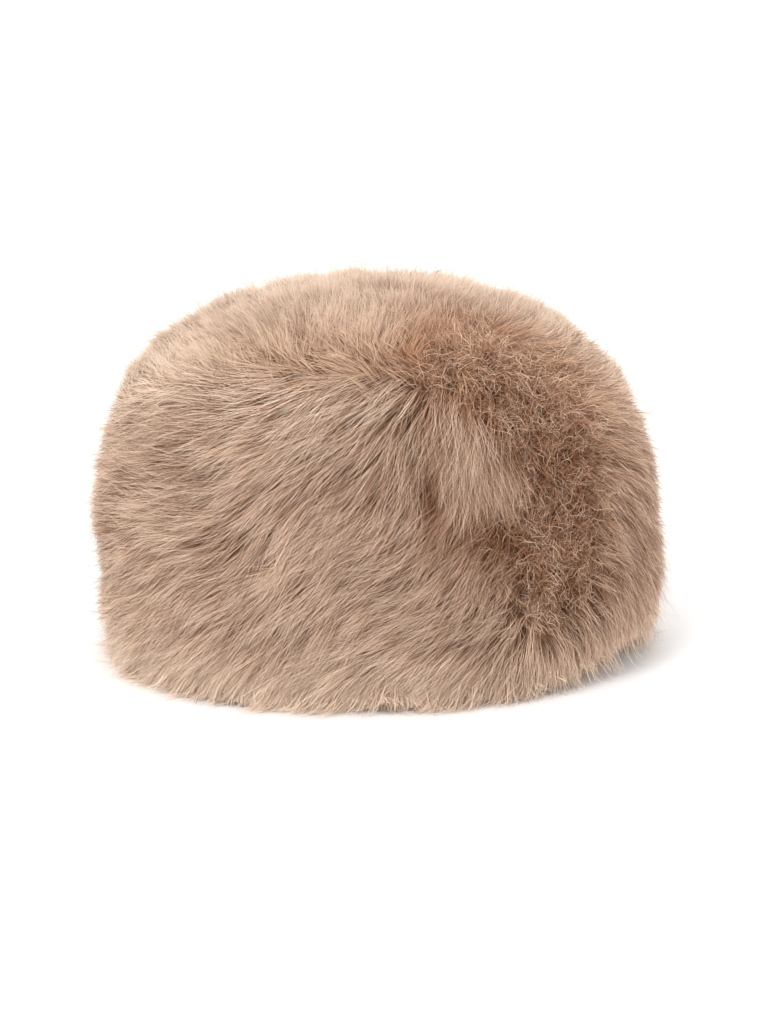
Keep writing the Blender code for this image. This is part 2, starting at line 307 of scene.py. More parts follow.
# How the pile is combed. Heading 0 runs round to the left, 90 down, 180 to the right and 270 up.
Comb = namedtuple("Comb", "azimuth height heading")
LEFT_COMBS = rows_of(
    Comb,
    (-150, 0.125, 84),
    (-125, 0.128, 62),
    (-160, 0.070, 72),
    (-130, 0.100, 40),
    (-130, 0.030, 55),
    (-95, 0.110, 8),
    (-90, 0.060, 26),
    (-90, 0.015, 30),
    (-76, 0.103, 12),
    (-62, 0.088, 18),
    (-58, 0.052, 26),
    (-67, 0.005, 24),
    (-50, 0.122, 14),
    (-29, 0.113, 34),
    (-38, 0.024, 54),
    (-44, 0.004, 52),
    (-38, 0.070, 34),
    (-16, 0.089, 46),
    (-16, 0.055, 38),
    (-16, 0.034, 28),
    (-22, 0.008, 54),
    (-2, 0.007, 46),
    (-6, 0.070, 48),
    (-5, 0.124, 52),
    (4, 0.097, 62),
    (4, 0.031, 16),
    (14, 0.013, 44),
    (19, 0.073, 26),
    (22, 0.045, 20),
    (28, 0.110, 52),
    (24, 0.132, 60),
    (40, 0.005, 100),
    (180, 0.070, 90),
)
RIGHT_COMBS = rows_of(
    Comb,
    (40, 0.005, 100),
    (44, 0.120, 170),
    (46, 0.080, 140),
    (50, 0.101, 152),
    (59, 0.121, 164),
    (56, 0.0745, 134),
    (49, 0.057, 122),
    (60, 0.052, 120),
    (53, 0.030, 110),
    (66, 0.010, 125),
    (90, 0.110, 158),
    (90, 0.060, 142),
    (90, 0.020, 132),
    (130, 0.070, 122),
    (125, 0.128, 115),
    (150, 0.125, 98),
    (180, 0.070, 90),
)
TUFT_COMBS = rows_of(
    Comb,
    (12, 0.118, 82),
    (15, 0.095, 78),
    (25, 0.116, 58),
    (24, 0.090, 68),
)
PARTING_COMBS = rows_of(
    Comb,
    (-60, 0.125, 356),
    (-30, 0.134, 350),
    (0, 0.136, 340),
    (30, 0.140, 210),
)

# Round the lower edge, every 20 degrees from the back
EDGE_HEADINGS = (90, 86, 78, 72, 68, 66, 68, 68, 62, 58, 66, 92, 112, 120, 118, 112, 104, 96)
EDGE_COMBS = tuple(
    Comb(azimuth=20 * index - 180, height=0.007, heading=heading)
    for index, heading in enumerate(EDGE_HEADINGS)
)

# How far a comb reaches, in degrees round and metres up, and what is left of it everywhere
COMB_ROUND = 11
COMB_UP = 0.017
LEAST_COMB = 1e-6

# The parting between the crown's pile and the band's, which fades out at both ends
Parting = namedtuple("Parting", "azimuth height")
PARTING = rows_of(
    Parting,
    (-180, 0.1270),
    (-120, 0.1220),
    (-85, 0.1165),
    (-66, 0.1190),
    (-49, 0.1275),
    (-23, 0.1355),
    (2, 0.1360),
    (12, 0.1340),
    (32, 0.1400),
    (60, 0.1370),
    (120, 0.1320),
    (180, 0.1270),
)
PARTING_FROM = (-88, -70)
PARTING_TO = (33, 50)
PARTING_WIDTH = 0.009

# The tangled strip, where the band's pile stands open, from the top down
Tangle = namedtuple("Tangle", "height azimuth")
TANGLE = rows_of(
    Tangle,
    (0.146, 31),
    (0.136, 32),
    (0.122, 36),
    (0.084, 38),
    (0.061, 38),
    (0.038, 36),
    (0.015, 36),
)

# The strip's reach each way in degrees, how much wider it is at one height, and where it ends
TANGLE_ACROSS = 7.5
TANGLE_WIDER = 4.0
WIDER_AT = 0.124
WIDER_UP = 0.011
TANGLE_TOP = (0.143, 0.150)
TANGLE_FOOT = (0.028, 0.052)

# Darker places in the pile: painted shade in the crease beside the tuft and in the hollow under the tuft,
# and darker places at the whorl above it, beside the tangled strip, along the crown's front and the parting,
# and over the seam at the back
Shade = namedtuple("Shade", "azimuth height across up dark")
SHADES = rows_of(
    Shade,
    # Painted shade in the crease beside the tuft
    (11.5, 0.110, 1.6, 0.018, 0.40),
    # Painted shade at the crack on the tuft's left
    (10.5, 0.084, 1.1, 0.010, 0.45),
    (-15, 0.1440, 42, 0.010, 0.47),
    (30, 0.1400, 17, 0.010, 0.45),
    (18, 0.1345, 12, 0.0035, 0.20),
    # Painted shade in the hollow under the tuft's tips
    (22, 0.069, 10, 0.008, 0.42),
    (22, 0.085, 13, 0.035, 0.45),
    (54, 0.075, 12, 0.045, 0.30),
    (54, 0.120, 14, 0.022, 0.45),
    (24, 0.121, 8, 0.009, 0.42),
    (75, 0.080, 20, 0.060, 0.12),
    (-12, 0.1330, 26, 0.0060, 0.24),
    (180, 0.1380, 65, 0.014, 0.20),
)

# The narrow crack on the tuft's left, where the strands part: painted shade, as the strands that pass over
# it take the colour of their dark roots
CRACK = Shade(azimuth=10.2, height=0.085, across=0.8, up=0.009, dark=0.72)

# Where the tuft grows
Place = namedtuple("Place", "azimuth height across up")
TUFT = Place(azimuth=20, height=0.115, across=5.5, up=0.006)

# The crown's pile runs to the back. It fans out by this share for each metre sideways, and by no more than
# the limits on the left and on the right.
CROWN_FAN = 5.0
FAN_LEFT = -0.45
FAN_RIGHT = 0.3

# Between these heights a pile that isn't parted turns from the band's combing to the crown's
TURNS_TO_CROWN = (0.112, 0.138)


def row_values(rows, key, value):
    return [getattr(row, key) for row in rows], [getattr(row, value) for row in rows]


def above_parting(azimuth, height):
    return height - np.interp(np.degrees(azimuth), *row_values(PARTING, "azimuth", "height"))


def parted(azimuth):
    """1 where the parting shows, 0 where the crown's pile runs on into the band's."""
    degrees = np.degrees(azimuth)
    return eased(degrees, *PARTING_FROM) * (1 - eased(degrees, *PARTING_TO))


def near_parting(azimuth, height):
    return bell(above_parting(azimuth, height), PARTING_WIDTH) * parted(azimuth)


def right_of_tangle(azimuth, height):
    """Degrees from the middle of the tangled strip round to the right."""
    heights, azimuths = row_values(TANGLE[::-1], "height", "azimuth")
    return np.degrees(azimuth) - np.interp(height, heights, azimuths)


def tangled(azimuth, height):
    """How open and dark the pile is: 1 along the middle of the tangled strip."""
    ends = eased(height, *TANGLE_FOOT) * (1 - eased(height, *TANGLE_TOP))
    across = TANGLE_ACROSS + TANGLE_WIDER * bell(height - WIDER_AT, WIDER_UP)
    return bell(right_of_tangle(azimuth, height), across) * ends


def shade_of(row, azimuth, height):
    return row.dark * near_row(row, azimuth, height)


def shaded(azimuth, height):
    """How dark the pile's colour is here, from 0 to 1, with painted shade included."""
    dark = tangled(azimuth, height) + sum(shade_of(row, azimuth, height) for row in SHADES)
    return np.clip(dark, 0, 1)


def comb_direction(points, normals, combs):
    """The way the pile lies at these points, between the combs nearest to them."""
    azimuth, _ = plan_places(points[:, 0], points[:, 1])
    level = np.zeros(len(points))
    right = np.zeros(len(points))
    up = np.zeros(len(points))
    for row in combs:
        near = bell(degrees_apart(azimuth, row.azimuth), COMB_ROUND)
        near = near * bell(points[:, 2] - row.height, COMB_UP) + LEAST_COMB
        right -= near * math.cos(math.radians(row.heading))
        up -= near * math.sin(math.radians(row.heading))
    across = in_surface(np.stack([np.cos(azimuth), np.sin(azimuth), level], axis=-1), normals)
    return unit(across * right[:, None] + np.cross(normals, across) * up[:, None])


def crown_direction(points, normals):
    fan = np.clip(points[:, 0] * CROWN_FAN, FAN_LEFT, FAN_RIGHT)
    return in_surface(np.stack([fan, np.ones(len(points)), np.zeros(len(points))], axis=-1), normals)


class Combing:
    """The way the pile of clumps with these roots lies.

    A clump keeps to the side of the parting and of the tangled strip that it grows on.
    """

    def __init__(self, azimuth, height, combs=None):
        self.combs = combs
        self.on_crown = above_parting(azimuth, height) > 0
        self.parted = parted(azimuth)
        self.right = right_of_tangle(azimuth, height) > 0

    def __call__(self, points, normals):
        if self.combs:
            return comb_direction(points, normals, self.combs)
        left = comb_direction(points, normals, LEFT_COMBS)
        right = comb_direction(points, normals, RIGHT_COMBS)
        band = np.where(self.right[:, None], right, left)
        share = eased(points[:, 2], *TURNS_TO_CROWN)
        share = np.where(self.on_crown, np.maximum(share, self.parted), share * (1 - self.parted))
        return unit(crown_direction(points, normals) * share[:, None] + band * (1 - share[:, None]))


# What a kind of pile is like, with lengths in metres and angles (stray, curve, roll) in radians. Its roots
# lie within a radius of the clump's path, at a depth under the surface, and its tips above or below it. The
# flyaways are the share of strands that stand out of it, uneven is the share of a place's darkness that a
# strand may lose, and past_edge is how far the pile may reach beyond the lower edge.
Kind = namedtuple(
    "Kind",
    "length root_depth tip tip_spread radius gather stray frizz curl width curve flyaways tone_spread roll"
    " uneven past_edge per_clump strand_points",
)
BAND_PILE = Kind(
    length=0.033, root_depth=0.0100, tip=-0.0004, tip_spread=0.0011, radius=0.0027, gather=0.45, stray=0.22,
    frizz=0.0004, curl=0, width=0.00023, curve=0.20, flyaways=0.14, tone_spread=0.50, roll=0.65,
    uneven=0, past_edge=0.003, per_clump=8, strand_points=4,
)
CROWN_PILE = BAND_PILE._replace(
    length=0.027, root_depth=0.0060, radius=0.0028, gather=0.20, stray=0.15, width=0.00022,
    tip_spread=0.0005, curve=0.13, flyaways=0.15, tone_spread=0.07, roll=0.32, per_clump=9,
)
TUFT_PILE = BAND_PILE._replace(
    length=0.038, root_depth=0.0090, tip=0.0020, tip_spread=0.0016, radius=0.0026, gather=0.40, stray=0.30,
    frizz=0.0009, uneven=0.8, per_clump=9, strand_points=5,
)
EDGE_PILE = BAND_PILE._replace(
    length=0.028, root_depth=0.0080, tip=0.0070, tip_spread=0.0035, radius=0.0028, stray=0.26, width=0.00027,
    curve=0.3, flyaways=0.45, past_edge=0.014, per_clump=6, strand_points=5,
)
WOOL_PILE = Kind(
    length=0.009, root_depth=0.0060, tip=-0.0020, tip_spread=0.0017, radius=0.0032, gather=0.1, stray=1.0,
    frizz=0.0009, curl=0, width=0.00024, curve=2.0, flyaways=0, tone_spread=0.2, roll=0.65,
    uneven=0, past_edge=0.004, per_clump=8, strand_points=4,
)
PARTING_PILE = BAND_PILE._replace(
    length=0.017, root_depth=0.0034, tip=-0.0008, tip_spread=0.0008, stray=0.28, curve=0.4, tone_spread=0.30,
)
RIM_PILE = WOOL_PILE._replace(
    length=0.013, root_depth=0.0020, tip=0.0004, tip_spread=0.0006, radius=0.0045, stray=0.35, width=0.00040,
    per_clump=9,
)
CURLED_PILE = Kind(
    length=0.016, root_depth=0.0045, tip=0.0006, tip_spread=0.0014, radius=0.0045, gather=0.2, stray=0.8,
    frizz=0.0004, curl=0.0011, width=0.00021, curve=2.0, flyaways=0.05, tone_spread=0.2, roll=0.65,
    uneven=1.0, past_edge=0.004, per_clump=5, strand_points=8,
)

# A strand's width along its length, as shares of its kind's width, for each number of points
WIDTHS = {
    4: (0.85, 1.0, 0.75, 0.0),
    5: (0.80, 1.0, 0.95, 0.65, 0.0),
    8: (0.8, 1.0, 1.0, 1.0, 0.95, 0.8, 0.6, 0.0),
}
STRAND_WIDTHS = (0.7, 1.25)
LOOSE_WIDTH = 0.55

# The paths of clumps: their lengths as shares of their kind's, and how they bend in the surface
GUIDE_STEPS = 10
CLUMP_LENGTHS = (0.82, 1.12)
FINE_BEND_SHARE = 0.6
OWN_BEND_SHARE = 0.5
LEAST_DOWN = 0.3
LEAST_LENGTH = 0.004

# The clumps under the band turn outwards from the backing's rim and down
RIM_LENGTHS = (0.8, 1.2)
RIM_HALF_WIDTHS = (0.0908, 0.1050)
RIM_HEIGHT = 0.0036
LIFTED_FROM = (0.094, 0.100)
RIM_DROP = 0.0030
RIM_TURN = 0.03

# A clump parts into tresses and a tress into strands, each with its own place, reach, stray and tip
TRESSES = 3
TRESS_RADIUS = 0.33
TRESS_GATHER = 0.45
TRESS_REACHES = (0.78, 1.0)
STRAND_REACHES = (0.85, 1.08)
TRESS_STRAY = 0.6
STRAND_STRAY = 0.8
TRESS_TIP = 0.5
STRAND_TIP = 0.0005
CLUMP_RELIEF = 0.0010
CREST = 0.0020
CURL_TURNS = (1.2, 2.4)
FRIZZ_OUT = 0.7
LOOSE_REACH = 0.0105
ROOT_DEPTHS = (0.9, 1.15)
SHALLOWER_AT_PARTING = 0.68
STEEPEST = 0.4
LOWEST_POINT = 0.0007
FLOOR_SPREAD = 0.0012

# What makes strands paler, with painted light at the foot, and how their tones differ
PAINTED_FOOT_PALER = 0.75
PARTING_PALER = 0.7
SHOULDER_PALER = 0.70
MOST_PALER = 0.8
SHOULDER_HEIGHT = 0.132
SHOULDER_UP = 0.020
# Painted light: strands rooted near the floor get a lighter tone, against the shade there
PAINTED_FOOT_LIGHT = 0.42
PAINTED_FOOT_LIGHT_HEIGHT = 0.008
PAINTED_FOOT_LIGHT_UP = 0.014
CLUMP_TONE = 0.12
PATCH_TONE = 0.08
FINE_PATCH_TONE = 0.07
TRESS_TONE = 0.5

BEND = Ripple(0.045, 21)
FINE_BEND = Ripple(0.016, 22)
RELIEF = Ripple(0.022, 23)
PATCHES = Ripple(0.050, 24)
FINE_PATCHES = Ripple(0.013, 25)


def turned_in_surface(directions, normals, angle):
    """Directions in the surface, turned by this angle about the normals."""
    across = np.cross(normals, directions)
    return directions * np.cos(angle)[:, None] + across * np.sin(angle)[:, None]


def clump_paths(azimuth, run, combing, kind, chance):
    """The path of each clump over the surface: its points, its normals and its length."""
    points, normals = SURFACE.at(azimuth, run)
    length = kind.length * chance.uniform(*CLUMP_LENGTHS, len(points))
    down = np.maximum(-combing(points, normals)[:, 2], LEAST_DOWN)
    room = np.maximum(run - FLOOR_RUN - TRIMMED_LENGTH * trimmed(azimuth) + kind.past_edge, 0)
    length = np.minimum(length, room / down + LEAST_LENGTH)
    own_bend = OWN_BEND_SHARE * chance.normal(size=len(points))
    bend = kind.curve * (BEND(points) + FINE_BEND_SHARE * FINE_BEND(points) + own_bend)
    path = [points]
    path_normals = [normals]
    for _ in range(GUIDE_STEPS):
        heading = turned_in_surface(combing(points, normals), normals, bend)
        points, normals = SURFACE.onto(points + heading * (length / GUIDE_STEPS)[:, None])
        path.append(points)
        path_normals.append(normals)
    return np.stack(path, axis=1), np.stack(path_normals, axis=1), length


def rim_paths(azimuth, kind, chance):
    """The paths of the clumps under the band: outwards from the backing's rim and down to the floor."""
    count = len(azimuth)
    length = kind.length * chance.uniform(*RIM_LENGTHS, count)
    start = chance.uniform(*RIM_HALF_WIDTHS, count)
    top = RIM_HEIGHT + lift(azimuth, 0.0) * eased(start, *LIFTED_FROM)
    share = np.linspace(0, 1, GUIDE_STEPS + 1)
    half_width = start[:, None] + length[:, None] * share
    height = top[:, None] - RIM_DROP * share * (2 - share)
    paths = plan_points(azimuth[:, None] + RIM_TURN * share, half_width, height)
    return paths, np.broadcast_to((0.0, 0.0, -1.0), paths.shape), length


def scattered(radius, count, chance):
    """Offsets of strands in a round clump, across it and along it."""
    reach = radius * np.sqrt(chance.uniform(0, 1, count))
    turn = chance.uniform(0, math.tau, count)
    return reach * np.cos(turn), reach * np.sin(turn)


def places_along(paths, normals, own, along):
    """Points this far along the strands' own paths, with the normals and the directions beside them."""
    i = along.astype(int)
    part = (along - i)[..., None]
    row = own[:, None]
    low = paths[row, i]
    high = paths[row, i + 1]
    normal = unit(normals[row, i] * (1 - part) + normals[row, i + 1] * part)
    tangent = in_surface(high - low + 1e-9 * normal, normal)
    return low * (1 - part) + high * part, normal, np.cross(tangent, normal)


def strand_shapes(azimuth, clumps, own, tress, kind, chance):
    """The points of each strand, and half its width there as a direction."""
    paths, normals, length = clumps
    roots = paths[:, 0]
    count = len(own)
    tresses = len(paths) * TRESSES
    share = np.linspace(0, 1, kind.strand_points)[None, :]

    tress_beside, tress_start = scattered(kind.radius, tresses, chance)
    strand_beside, strand_start = scattered(kind.radius * TRESS_RADIUS, count, chance)
    start = (tress_start[tress] + strand_start) / length[own]
    reach = chance.uniform(*TRESS_REACHES, tresses)[tress] * chance.uniform(*STRAND_REACHES, count)
    along = np.clip(start[:, None] + share * reach[:, None], 0, 0.9999) * GUIDE_STEPS
    centre, normal, side = places_along(paths, normals, own, along)

    beside = tress_beside[tress][:, None] * (1 - kind.gather * share**1.2)
    beside = beside + strand_beside[:, None] * (1 - TRESS_GATHER * share)
    crest = -CREST * (beside / kind.radius) ** 2
    stray = chance.normal(0, kind.stray * TRESS_STRAY, tresses)[tress]
    stray = stray + chance.normal(0, kind.stray * STRAND_STRAY, count)
    beside = beside + (stray * length[own] * reach / 2)[:, None] * share**2
    beside = beside + chance.normal(0, kind.frizz, (count, kind.strand_points)) * share
    phase = chance.uniform(0, math.tau, count)[:, None]
    winding = phase + math.tau * chance.uniform(*CURL_TURNS, count)[:, None] * share
    curl = kind.curl * share**0.5
    beside = beside + curl * np.sin(winding)

    clump_tip = chance.normal(0, kind.tip_spread, len(paths)) + CLUMP_RELIEF * RELIEF(roots)
    tip = kind.tip + clump_tip[own] + chance.normal(0, kind.tip_spread * TRESS_TIP, tresses)[tress]
    tip = tip + chance.normal(0, STRAND_TIP, count)
    loose = chance.uniform(0, 1, count) < kind.flyaways
    tip = np.where(loose, tip + LOOSE_REACH * chance.uniform(0.1, 1.0, count) ** 1.5, tip)
    depth = kind.root_depth * (1 - SHALLOWER_AT_PARTING * near_parting(azimuth, roots[:, 2]))
    depth = np.minimum(depth, length * STEEPEST)[own] * chance.uniform(*ROOT_DEPTHS, count)
    out = -depth[:, None] * (1 - share) ** 1.5 + tip[:, None] * share**1.4 + crest * (1 - share)
    out = out + chance.normal(0, kind.frizz * FRIZZ_OUT, (count, kind.strand_points)) * share
    out = out + curl * np.cos(winding)

    points = centre + side * beside[..., None] + normal * out[..., None]
    floor = LOWEST_POINT + chance.uniform(0, FLOOR_SPREAD, count)[:, None]
    points[..., 2] = np.maximum(points[..., 2], floor)
    roll = chance.normal(0, kind.roll, count)[:, None, None]
    across = side * np.cos(roll) + normal * np.sin(roll)
    width = kind.width * chance.uniform(*STRAND_WIDTHS, count) * np.where(loose, LOOSE_WIDTH, 1.0)
    across = across * (width[:, None] * np.array(WIDTHS[kind.strand_points]) / 2)[..., None]
    too_low = points[..., 2] - np.abs(across[..., 2]) < LOWEST_POINT
    across[too_low, 2] = 0
    return points, across


def strand_colours(azimuth, roots, points, own, tress, kind, chance):
    """The colour's place from root to tip, the tone and the darkness at each strand's points."""
    count = len(own)
    share = np.linspace(0, 1, kind.strand_points)[None, :]
    # Painted light at the foot, where less light reaches: strands rooted low get a lighter tone and paler
    # roots
    painted_foot_light = bell(roots[:, 2] - PAINTED_FOOT_LIGHT_HEIGHT, PAINTED_FOOT_LIGHT_UP)
    tone = CLUMP_TONE * chance.normal(size=len(roots))
    tone = tone + PATCH_TONE * PATCHES(roots) + FINE_PATCH_TONE * FINE_PATCHES(roots) + PAINTED_FOOT_LIGHT * painted_foot_light
    own_tone = TRESS_TONE * chance.normal(size=len(roots) * TRESSES)[tress] + chance.normal(size=count)
    tone = np.clip(0.5 + tone[own] + kind.tone_spread * own_tone, 0, 1)

    at_shoulder = bell(roots[:, 2] - SHOULDER_HEIGHT, SHOULDER_UP) * (1 - parted(azimuth))
    paler = PARTING_PALER * near_parting(azimuth, roots[:, 2])
    paler = paler + SHOULDER_PALER * at_shoulder + PAINTED_FOOT_PALER * painted_foot_light
    along = share + (1 - share) * np.minimum(paler, MOST_PALER)[own][:, None]
    point_azimuth, _ = plan_places(points[..., 0], points[..., 1])
    # Painted shade of the crack: strands that pass over it take their dark root colour
    along = along * (1 - shade_of(CRACK, point_azimuth, points[..., 2]))
    kept = 1 - kind.uneven * chance.uniform(0, 1, count)
    dark = shaded(point_azimuth, points[..., 2]) * kept[:, None]
    return along, np.broadcast_to(tone[:, None], points.shape[:2]), dark


# All strands of some clumps, one row a strand
Strands = namedtuple("Strands", "points across along tone dark root_azimuth")


def grown(azimuth, clumps, kind, chance):
    """The strands of clumps rooted at these azimuths."""
    roots = clumps[0][:, 0]
    own = np.repeat(np.arange(len(roots)), kind.per_clump)
    tress = own * TRESSES + np.arange(len(own)) % TRESSES
    points, across = strand_shapes(azimuth, clumps, own, tress, kind, chance)
    along, tone, dark = strand_colours(azimuth, roots, points, own, tress, kind, chance)
    return Strands(points, across, along, tone, dark, azimuth[own])


def sown(count, weight, chance):
    """Places on the surface, spread evenly over its area times this weight."""
    area = (SURFACE.area * weight)[:-1, :-1]
    total = np.cumsum(area.ravel())
    spots = (np.arange(count) + chance.uniform(0, 1, count)) / count * total[-1]
    i, j = np.divmod(np.minimum(np.searchsorted(total, spots), area.size - 1), area.shape[1])
    azimuth = (i + chance.uniform(0, 1, count)) / SURFACE.ROUND * math.tau - math.pi
    run = (j + chance.uniform(0, 1, count)) / (SURFACE.UP - 1) * SURFACE.whole
    return azimuth, run


# Each strand's cell in the bake map: its two sides, its foot and its height
CELL_SIDES = (0.2, 0.8)
CELL_FOOT = 0.08
CELL_HEIGHT = 0.84


def strand_mesh(name, strands):
    """A mesh of tapered ribbons, each strand with its own cell in the bake map and its attributes."""
    count, rows = strands.points.shape[:2]
    body = rows - 1
    left = strands.points - strands.across
    right = strands.points + strands.across
    pairs = np.stack([left[:, :body], right[:, :body]], axis=2).reshape(count, body * 2, 3)
    spots = np.concatenate([pairs, strands.points[:, body:]], axis=1)
    per_strand = body * 2 + 1
    corners = []
    for i in range(body - 1):
        corners += [2 * i, 2 * i + 1, 2 * i + 3, 2 * i + 2]
    corners += [2 * body - 2, 2 * body - 1, 2 * body]
    corners = np.array(corners)
    sizes = np.array([4] * (body - 1) + [3])
    first = np.arange(count)[:, None] * per_strand
    mesh = bpy.data.meshes.new(name)
    mesh.vertices.add(count * per_strand)
    mesh.vertices.foreach_set("co", spots.astype(np.float32).ravel())
    mesh.loops.add(count * len(corners))
    mesh.loops.foreach_set("vertex_index", (first + corners).astype(np.int32).ravel())
    mesh.polygons.add(count * len(sizes))
    starts = np.concatenate([[0], np.cumsum(sizes)[:-1]]) + np.arange(count)[:, None] * len(corners)
    mesh.polygons.foreach_set("loop_start", starts.astype(np.int32).ravel())
    mesh.polygons.foreach_set("use_smooth", np.ones(count * len(sizes), dtype=bool))
    mesh.update(calc_edges=True)

    for label in ("along", "tone", "dark"):
        values = getattr(strands, label)
        paired = np.repeat(values[:, :body], 2, axis=1)
        data = np.concatenate([paired, values[:, body:]], axis=1)
        attribute = mesh.attributes.new(label, "FLOAT", "POINT")
        attribute.data.foreach_set("value", data.astype(np.float32).ravel())

    columns = math.ceil(math.sqrt(count * 2))
    lines = math.ceil(count / columns)
    line, column = np.divmod(np.arange(count), columns)
    u = np.concatenate([np.tile(CELL_SIDES, body), [0.5]])[corners]
    along = np.concatenate([np.repeat(np.arange(body), 2), [body]])[corners] / body
    v = CELL_FOOT + CELL_HEIGHT * along
    cells = np.stack([(column[:, None] + u) / columns, (line[:, None] + v) / lines], axis=-1)
    mesh.uv_layers.new(name="OFBake").data.foreach_set("uv", cells.astype(np.float32).ravel())
    return mesh


# The strands' tones, their colours from root to tip, and the wool's and the backing's from hollow to crest
TONE_STOPS = ((0.0, (0.31, 0.22, 0.165)), (0.5, (0.92, 0.895, 0.87)), (1.0, (1.0, 1.0, 1.0)))
BAND_STOPS = (
    (0.00, (0.25, 0.120, 0.062)),
    (0.35, (0.42, 0.240, 0.145)),
    (0.70, (0.79, 0.570, 0.425)),
    (1.00, (0.99, 0.825, 0.67)),
)
CROWN_STOPS = (
    (0.00, (0.60, 0.415, 0.295)),
    (0.30, (0.69, 0.505, 0.385)),
    (0.65, (0.79, 0.615, 0.48)),
    (1.00, (0.90, 0.755, 0.62)),
)
BAND_WOOL_STOPS = ((0.32, (0.16, 0.080, 0.045)), (0.55, (0.28, 0.150, 0.088)), (0.75, (0.40, 0.24, 0.155)))
CROWN_WOOL_STOPS = ((0.32, (0.34, 0.21, 0.14)), (0.55, (0.50, 0.33, 0.23)), (0.75, (0.64, 0.46, 0.34)))
TANGLE_STOPS = (
    (0.00, (0.10, 0.039, 0.016)),
    (0.40, (0.22, 0.095, 0.044)),
    (0.75, (0.45, 0.227, 0.123)),
    (1.00, (0.76, 0.480, 0.308)),
)
WOOL_SHADES = ((0.3, (0.7, 0.68, 0.66)), (0.7, (1.0, 1.0, 1.0)))
KNIT_STOPS = ((0.2, (0.40, 0.29, 0.21)), (0.8, (0.55, 0.42, 0.32)), (1.0, (0.62, 0.49, 0.38)))
KNIT_SHADES = ((0.3, (0.86, 0.84, 0.82)), (0.7, (1.0, 1.0, 1.0)))
FLOOR_SHADES = ((0.3, (0.955, 0.955, 0.955)), (0.7, (0.97, 0.97, 0.97)))
ROOT_ROUGHNESS = 0.75
TIP_ROUGHNESS = 0.52

# Cycles per metre
WOOL_SCALE = 900.0
WOOL_PATCH_SCALE = 70.0
KNIT_SCALE = 170.0
KNIT_PATCH_SCALE = 18.0
FLOOR_PATCH_SCALE = 3.0


def fill(tree, made, inputs):
    """Sets a node's inputs, each to a plain value or by a link from another node's output."""
    for label, value in inputs.items():
        if isinstance(value, bpy.types.NodeSocket):
            tree.links.new(value, made.inputs[label])
        else:
            made.inputs[label].default_value = value


def node(tree, kind, inputs, **settings):
    made = tree.nodes.new(kind)
    for key, value in settings.items():
        setattr(made, key, value)
    fill(tree, made, inputs)
    return made


def new_material(name):
    material = bpy.data.materials.new(name)
    material.use_nodes = True
    return material, material.node_tree, material.node_tree.nodes["Principled BSDF"]


def attribute_value(tree, label):
    return node(tree, "ShaderNodeAttribute", {}, attribute_name=label).outputs["Fac"]


def ramp(tree, value, stops):
    """The colour for a value, between these stops."""
    made = node(tree, "ShaderNodeValToRGB", {"Fac": value})
    elements = made.color_ramp.elements
    while len(elements) < len(stops):
        elements.new(0.5)
    for element, (position, colour) in zip(elements, stops):
        element.position = position
        element.color = (*colour, 1.0)
    return made.outputs["Color"]


def mixed(tree, blend_type, factor, first, second):
    """A colour mix. The factor and the colours are sockets or plain values."""
    inputs = {0: factor, 6: first, 7: second}
    return node(tree, "ShaderNodeMix", inputs, data_type="RGBA", blend_type=blend_type).outputs[2]


def place_noise(tree, scale, detail=4.0, roughness=0.55):
    """Noise laid out in the piece's own space, in cycles per metre."""
    place = node(tree, "ShaderNodeTexCoord", {}).outputs["Object"]
    inputs = {"Vector": place, "Scale": scale, "Detail": detail, "Roughness": roughness}
    return node(tree, "ShaderNodeTexNoise", inputs).outputs["Fac"]


def bumpy(tree, height, strength, distance):
    inputs = {"Height": height, "Strength": strength, "Distance": distance}
    return node(tree, "ShaderNodeBump", inputs).outputs["Normal"]


def fur_material(name, stops):
    """Fur that is dark at its roots and light at its tips, with strands and patches of different tones."""
    material, tree, shader = new_material(name)
    along = attribute_value(tree, "along")
    dark = attribute_value(tree, "dark")
    tone = attribute_value(tree, "tone")
    # The dark attribute mixes in the tangle's darker colours. Where it comes from the crease and the hollow
    # under the tuft, it is painted shade.
    colour = mixed(tree, "MIX", dark, ramp(tree, along, stops), ramp(tree, along, TANGLE_STOPS))
    rough = {"Value": along, "To Min": ROOT_ROUGHNESS, "To Max": TIP_ROUGHNESS}
    fill(tree, shader, {
        "Base Color": mixed(tree, "MULTIPLY", 1.0, colour, ramp(tree, tone, TONE_STOPS)),
        "Roughness": node(tree, "ShaderNodeMapRange", rough).outputs["Result"],
        "Specular IOR Level": 0.11,
        "Sheen Weight": 0.05,
        "Sheen Roughness": 0.45,
    })
    return material


def underfur_material(name, stops):
    """The dense short wool at the roots: matt and finely curled."""
    material, tree, shader = new_material(name)
    wool = place_noise(tree, WOOL_SCALE, detail=5.0, roughness=0.7)
    shades = ramp(tree, place_noise(tree, WOOL_PATCH_SCALE), WOOL_SHADES)
    fill(tree, shader, {
        "Base Color": mixed(tree, "MULTIPLY", 1.0, ramp(tree, wool, stops), shades),
        "Roughness": 0.95,
        "Specular IOR Level": 0.1,
        "Normal": bumpy(tree, wool, strength=0.9, distance=0.0012),
    })
    return material


